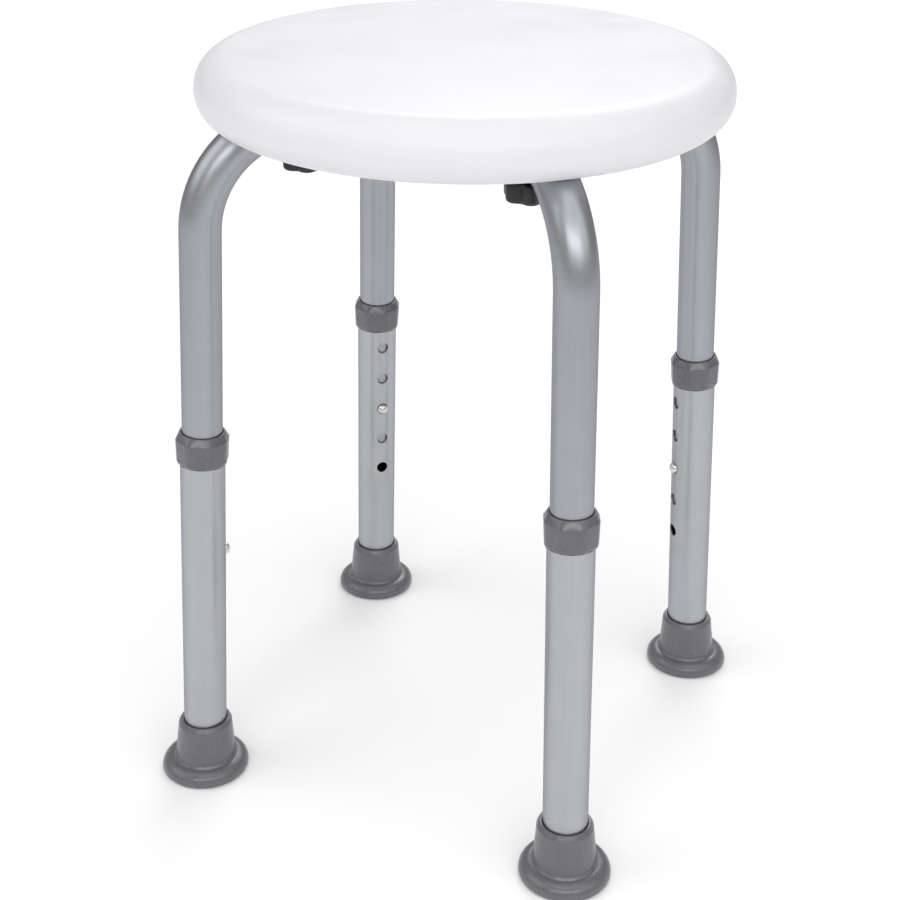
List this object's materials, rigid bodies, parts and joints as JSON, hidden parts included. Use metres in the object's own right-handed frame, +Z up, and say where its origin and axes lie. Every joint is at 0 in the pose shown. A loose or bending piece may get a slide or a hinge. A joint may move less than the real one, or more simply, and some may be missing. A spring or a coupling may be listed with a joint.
{
  "type": "shower stool",
  "caption": "Round shower stool: hollow white seat on bent aluminium tube legs with telescoping lower legs, spring buttons, hand knobs and rubber feet.",
  "frame": {"origin": "on the floor, under the middle of the seat, with all legs in their middle hole", "axes": "+Z up, -Y front, +X right; the legs stand on the diagonals"},
  "size_m": [0.318, 0.318, 0.47],
  "materials": {
    "white_polyethylene": "blow-moulded, smooth satin",
    "anodised_aluminium": "satin anodised",
    "plated_steel": "bright zinc plated",
    "spring_steel": "bare strip",
    "brass": "turned",
    "black_nylon": "moulded, slightly glossy",
    "grey_polypropylene": "moulded, satin",
    "grey_rubber": "moulded, satin"
  },
  "bodies": {
    "seat_frame": {"seat": "white_polyethylene", "threaded_insert_front_left": "brass", "upper_tube_front_left": "anodised_aluminium", "end_plug_front_left": "black_nylon", "spring_clip_front_left": "spring_steel", "threaded_insert_front_right": "brass", "upper_tube_front_right": "anodised_aluminium", "end_plug_front_right": "black_nylon", "spring_clip_front_right": "spring_steel", "threaded_insert_rear_right": "brass", "upper_tube_rear_right": "anodised_aluminium", "end_plug_rear_right": "black_nylon", "spring_clip_rear_right": "spring_steel", "threaded_insert_rear_left": "brass", "upper_tube_rear_left": "anodised_aluminium", "end_plug_rear_left": "black_nylon", "spring_clip_rear_left": "spring_steel"},
    "lower_leg_front_left": {"lower_tube_front_left": "anodised_aluminium", "collar_front_left": "grey_polypropylene", "foot_disc_front_left": "plated_steel", "foot_front_left": "grey_rubber"},
    "button_body_front_left": {"button_front_left": "plated_steel"},
    "saddle_front_left": {"saddle_washer_front_left": "black_nylon"},
    "knob_body_front_left": {"knob_front_left": "black_nylon", "knob_stud_front_left": "plated_steel"},
    "lower_leg_front_right": {"lower_tube_front_right": "anodised_aluminium", "collar_front_right": "grey_polypropylene", "foot_disc_front_right": "plated_steel", "foot_front_right": "grey_rubber"},
    "button_body_front_right": {"button_front_right": "plated_steel"},
    "saddle_front_right": {"saddle_washer_front_right": "black_nylon"},
    "knob_body_front_right": {"knob_front_right": "black_nylon", "knob_stud_front_right": "plated_steel"},
    "lower_leg_rear_right": {"lower_tube_rear_right": "anodised_aluminium", "collar_rear_right": "grey_polypropylene", "foot_disc_rear_right": "plated_steel", "foot_rear_right": "grey_rubber"},
    "button_body_rear_right": {"button_rear_right": "plated_steel"},
    "saddle_rear_right": {"saddle_washer_rear_right": "black_nylon"},
    "knob_body_rear_right": {"knob_rear_right": "black_nylon", "knob_stud_rear_right": "plated_steel"},
    "lower_leg_rear_left": {"lower_tube_rear_left": "anodised_aluminium", "collar_rear_left": "grey_polypropylene", "foot_disc_rear_left": "plated_steel", "foot_rear_left": "grey_rubber"},
    "button_body_rear_left": {"button_rear_left": "plated_steel"},
    "saddle_rear_left": {"saddle_washer_rear_left": "black_nylon"},
    "knob_body_rear_left": {"knob_rear_left": "black_nylon", "knob_stud_rear_left": "plated_steel"}
  },
  "joints": [
    {"name": "leg_slide_front_left", "type": "slide", "parent": "seat_frame", "child": "lower_leg_front_left", "axis": [-0.0368, -0.0368, -0.9986], "range_m": [-0.0508, 0.0508], "deforming": ["button_front_left"]},
    {"name": "button_press_front_left", "type": "slide", "parent": "seat_frame", "child": "button_body_front_left", "axis": [-0.7062, -0.7062, 0.052], "range_m": [0, 0.0046], "stiffness_N_per_m": 1500, "springref_m": -0.003, "deforming": ["spring_clip_front_left"]},
    {"name": "knob_travel_front_left", "type": "slide", "parent": "seat_frame", "child": "saddle_front_left", "axis": [0, 0, -1], "range_m": [0, 0.01]},
    {"name": "knob_turn_front_left", "type": "hinge", "parent": "saddle_front_left", "child": "knob_body_front_left", "pos_m": [-0.06986, -0.06986, 0.4165], "axis": [0, 0, -1], "range_deg": [0, 2900]},
    {"name": "leg_slide_front_right", "type": "slide", "parent": "seat_frame", "child": "lower_leg_front_right", "axis": [0.0368, -0.0368, -0.9986], "range_m": [-0.0508, 0.0508], "deforming": ["button_front_right"]},
    {"name": "button_press_front_right", "type": "slide", "parent": "seat_frame", "child": "button_body_front_right", "axis": [0.7062, -0.7062, 0.052], "range_m": [0, 0.0046], "stiffness_N_per_m": 1500, "springref_m": -0.003, "deforming": ["spring_clip_front_right"]},
    {"name": "knob_travel_front_right", "type": "slide", "parent": "seat_frame", "child": "saddle_front_right", "axis": [0, 0, -1], "range_m": [0, 0.01]},
    {"name": "knob_turn_front_right", "type": "hinge", "parent": "saddle_front_right", "child": "knob_body_front_right", "pos_m": [0.06986, -0.06986, 0.4165], "axis": [0, 0, -1], "range_deg": [0, 2900]},
    {"name": "leg_slide_rear_right", "type": "slide", "parent": "seat_frame", "child": "lower_leg_rear_right", "axis": [0.0368, 0.0368, -0.9986], "range_m": [-0.0508, 0.0508], "deforming": ["button_rear_right"]},
    {"name": "button_press_rear_right", "type": "slide", "parent": "seat_frame", "child": "button_body_rear_right", "axis": [0.7062, 0.7062, 0.052], "range_m": [0, 0.0046], "stiffness_N_per_m": 1500, "springref_m": -0.003, "deforming": ["spring_clip_rear_right"]},
    {"name": "knob_travel_rear_right", "type": "slide", "parent": "seat_frame", "child": "saddle_rear_right", "axis": [0, 0, -1], "range_m": [0, 0.01]},
    {"name": "knob_turn_rear_right", "type": "hinge", "parent": "saddle_rear_right", "child": "knob_body_rear_right", "pos_m": [0.06986, 0.06986, 0.4165], "axis": [0, 0, -1], "range_deg": [0, 2900]},
    {"name": "leg_slide_rear_left", "type": "slide", "parent": "seat_frame", "child": "lower_leg_rear_left", "axis": [-0.0368, 0.0368, -0.9986], "range_m": [-0.0508, 0.0508], "deforming": ["button_rear_left"]},
    {"name": "button_press_rear_left", "type": "slide", "parent": "seat_frame", "child": "button_body_rear_left", "axis": [-0.7062, 0.7062, 0.052], "range_m": [0, 0.0046], "stiffness_N_per_m": 1500, "springref_m": -0.003, "deforming": ["spring_clip_rear_left"]},
    {"name": "knob_travel_rear_left", "type": "slide", "parent": "seat_frame", "child": "saddle_rear_left", "axis": [0, 0, -1], "range_m": [0, 0.01]},
    {"name": "knob_turn_rear_left", "type": "hinge", "parent": "saddle_rear_left", "child": "knob_body_rear_left", "pos_m": [-0.06986, 0.06986, 0.4165], "axis": [0, 0, -1], "range_deg": [0, 2900]}
  ],
  "couplings": [
    {"joint": "knob_turn_front_left", "follows": "knob_travel_front_left", "rad_per_m": 5026.5},
    {"joint": "knob_turn_front_right", "follows": "knob_travel_front_right", "rad_per_m": 5026.5},
    {"joint": "knob_turn_rear_right", "follows": "knob_travel_rear_right", "rad_per_m": 5026.5},
    {"joint": "knob_turn_rear_left", "follows": "knob_travel_rear_left", "rad_per_m": 5026.5}
  ]
}
